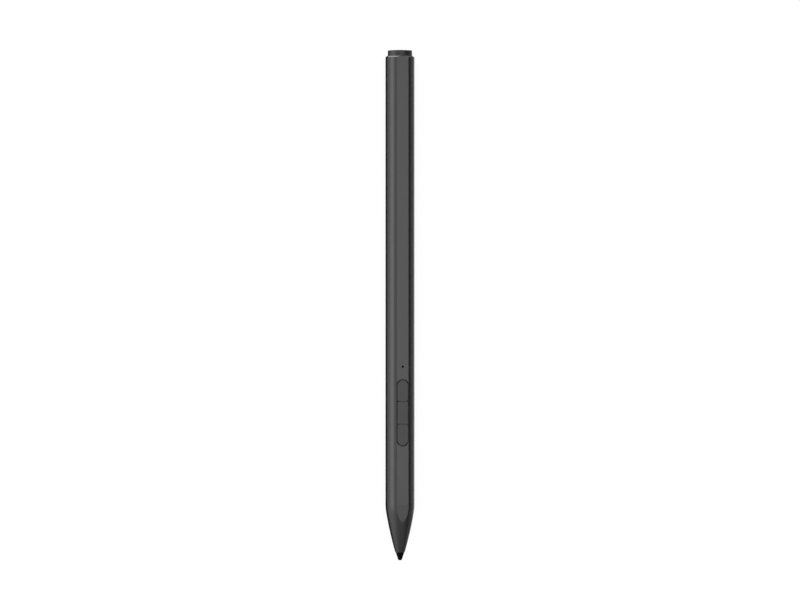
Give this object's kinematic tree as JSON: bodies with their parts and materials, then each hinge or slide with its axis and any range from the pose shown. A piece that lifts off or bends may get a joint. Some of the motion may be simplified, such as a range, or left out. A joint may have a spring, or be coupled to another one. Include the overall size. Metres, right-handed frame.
{
  "type": "stylus pen",
  "caption": "Slim round stylus with one flat side that carries keys in a slot and a signal light, a tapered nose with a nib that can be changed, and a push button in the tail.",
  "frame": {"origin": "on the table under the middle of the pen's length, with the pen on its round back", "axes": "+Y along the pen from tip to tail, +Z out of the flat side, +X across the pen"},
  "size_m": [0.0094, 0.1672, 0.0091],
  "materials": {
    "barrel_aluminium": "fine bead-blasted black anodising, satin",
    "button_aluminium": "turned, black anodised, satin",
    "key_plastic": "moulded, fine matt texture",
    "nib_plastic": "moulded acetal, black",
    "light_plastic": "smoked clear plastic, unlit",
    "inner_plastic": "moulded, black",
    "sensor_plastic": "moulded",
    "switch_plastic": "moulded",
    "chip_plastic": "moulded epoxy",
    "circuit_board": "glass laminate under green solder mask",
    "flex_film": "amber polyimide film",
    "lead_rubber": "silicone covered wire",
    "pad_rubber": "moulded silicone",
    "spring_steel": "bright drawn",
    "port_steel": "nickel plated, drawn",
    "cell_can": "bare can",
    "magnet_nickel": "nickel plated"
  },
  "bodies": {
    "barrel": {"barrel": "barrel_aluminium", "key_bridge": "key_plastic", "light_pipe": "light_plastic", "guide_sleeve": "inner_plastic", "carrier": "inner_plastic", "magnet_tray": "inner_plastic", "tail_plug": "inner_plastic", "force_sensor": "sensor_plastic", "front_switch": "switch_plastic", "rear_switch": "switch_plastic", "tail_switch": "switch_plastic", "status_led": "switch_plastic", "port_tongue": "switch_plastic", "controller_chip": "chip_plastic", "radio_chip": "chip_plastic", "main_board": "circuit_board", "charge_board": "circuit_board", "tail_board": "circuit_board", "main_flex": "flex_film", "battery_leads": "lead_rubber", "force_pad": "pad_rubber", "return_spring": "spring_steel", "board_screws": "spring_steel", "port_shell": "port_steel", "battery_cell": "cell_can", "magnet_1": "magnet_nickel", "magnet_2": "magnet_nickel", "magnet_3": "magnet_nickel", "magnet_4": "magnet_nickel"},
    "carriage": {"nib_carriage": "inner_plastic"},
    "nib": {"nib": "nib_plastic"},
    "front_key": {"front_key": "key_plastic", "front_plunger": "switch_plastic"},
    "rear_key": {"rear_key": "key_plastic", "rear_plunger": "switch_plastic"},
    "tail_button": {"tail_button": "button_aluminium", "tail_plunger": "switch_plastic"}
  },
  "joints": [
    {"name": "nib_press", "type": "slide", "parent": "barrel", "child": "carriage", "axis": [0, 1, 0], "range_m": [0, 0.0003], "stiffness_N_per_m": 1000, "deforming": ["return_spring", "force_pad"]},
    {"name": "nib_pull", "type": "slide", "parent": "carriage", "child": "nib", "axis": [0, -1, 0], "range_m": [0, 0.01]},
    {"name": "front_key_press", "type": "slide", "parent": "barrel", "child": "front_key", "axis": [0, 0, -1], "range_m": [0, 0.00025], "stiffness_N_per_m": 1600},
    {"name": "rear_key_press", "type": "slide", "parent": "barrel", "child": "rear_key", "axis": [0, 0, -1], "range_m": [0, 0.00025], "stiffness_N_per_m": 1600},
    {"name": "tail_button_press", "type": "slide", "parent": "barrel", "child": "tail_button", "axis": [0, -1, 0], "range_m": [0, 0.0005], "stiffness_N_per_m": 2000}
  ]
}
